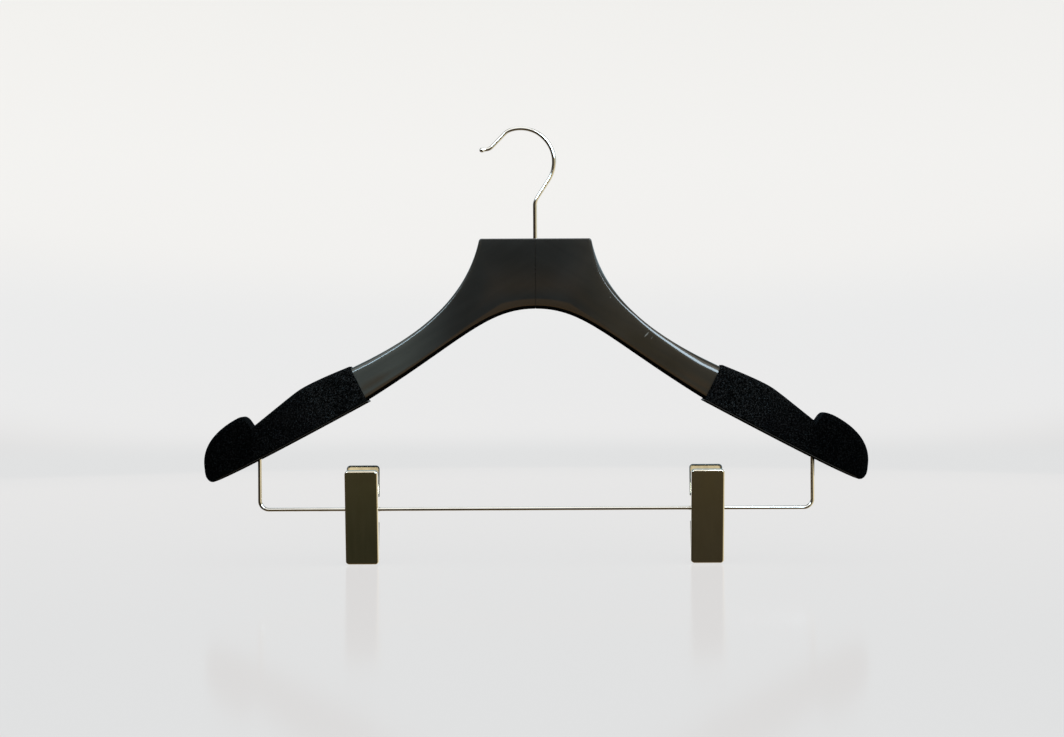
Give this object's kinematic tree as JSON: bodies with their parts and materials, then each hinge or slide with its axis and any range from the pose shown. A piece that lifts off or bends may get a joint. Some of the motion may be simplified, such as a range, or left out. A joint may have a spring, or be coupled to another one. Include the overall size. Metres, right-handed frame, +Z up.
{
  "type": "clothes hanger",
  "caption": "Shop hanger for a top and trousers: arched lacquered arms with flocked ends, a swivel wire hook, and a wire bar with sliding sprung clips.",
  "frame": {"origin": "the highest point inside the hook's curve, where the rail carries it", "axes": "+X along the hanger, towards the side that the hook's back bulges to; -Y is the front; +Z up"},
  "size_m": [0.4406, 0.023, 0.2907],
  "materials": {
    "chrome_wire": "bright chrome-plated drawn steel wire",
    "brass": "plain turned brass",
    "zinc_steel": "dull zinc-plated steel",
    "black_lacquer": "satin charcoal-black lacquer over close-grained wood",
    "beech": "bare beech",
    "black_flock": "deep black velvet flock on a moulded shell",
    "plated_plate": "polished warm nickel-chrome plate with rounded edges",
    "spring_steel": "oiled spring wire",
    "pad_rubber": "matt grey-black soft rubber"
  },
  "bodies": {
    "hook": {"hook": "chrome_wire", "hook_washer": "zinc_steel", "hook_nut": "zinc_steel"},
    "frame": {"hook_bushing": "brass", "left_arm": "black_lacquer", "right_arm": "black_lacquer", "neck_dowel": "beech", "left_shoulder_cap": "black_flock", "right_shoulder_cap": "black_flock", "trouser_bar": "chrome_wire"},
    "left_clip_carrier": {"left_clip_sleeve": "zinc_steel"},
    "left_clip_back": {"left_clip_back_plate": "plated_plate", "left_clip_back_pad": "pad_rubber", "left_clip_spring": "spring_steel"},
    "left_clip_front": {"left_clip_front_plate": "plated_plate", "left_clip_front_pad": "pad_rubber"},
    "right_clip_carrier": {"right_clip_sleeve": "zinc_steel"},
    "right_clip_back": {"right_clip_back_plate": "plated_plate", "right_clip_back_pad": "pad_rubber", "right_clip_spring": "spring_steel"},
    "right_clip_front": {"right_clip_front_plate": "plated_plate", "right_clip_front_pad": "pad_rubber"}
  },
  "joints": [
    {"name": "hook_swivel", "type": "hinge", "parent": "hook", "child": "frame", "pos_m": [0.0094, 0, -0.0721], "axis": [0, 0, 1], "continuous": true},
    {"name": "left_clip_slide", "type": "slide", "parent": "frame", "child": "left_clip_carrier", "axis": [1, 0, 0], "range_m": [-0.044, 0.102]},
    {"name": "left_clip_swing", "type": "hinge", "parent": "left_clip_carrier", "child": "left_clip_back", "pos_m": [-0.1063, 0, -0.2514], "axis": [1, 0, 0], "continuous": true},
    {"name": "left_clip_open", "type": "hinge", "parent": "left_clip_back", "child": "left_clip_front", "pos_m": [-0.1063, 0, -0.2514], "axis": [-1, 0, 0], "range_deg": [0, 25], "stiffness_Nm_per_rad": 0.3, "springref_deg": -57.3, "deforming": ["left_clip_spring"]},
    {"name": "right_clip_slide", "type": "slide", "parent": "frame", "child": "right_clip_carrier", "axis": [1, 0, 0], "range_m": [-0.1, 0.046]},
    {"name": "right_clip_swing", "type": "hinge", "parent": "right_clip_carrier", "child": "right_clip_back", "pos_m": [0.1228, 0, -0.2514], "axis": [1, 0, 0], "continuous": true},
    {"name": "right_clip_open", "type": "hinge", "parent": "right_clip_back", "child": "right_clip_front", "pos_m": [0.1228, 0, -0.2514], "axis": [-1, 0, 0], "range_deg": [0, 25], "stiffness_Nm_per_rad": 0.3, "springref_deg": -57.3, "deforming": ["right_clip_spring"]}
  ]
}
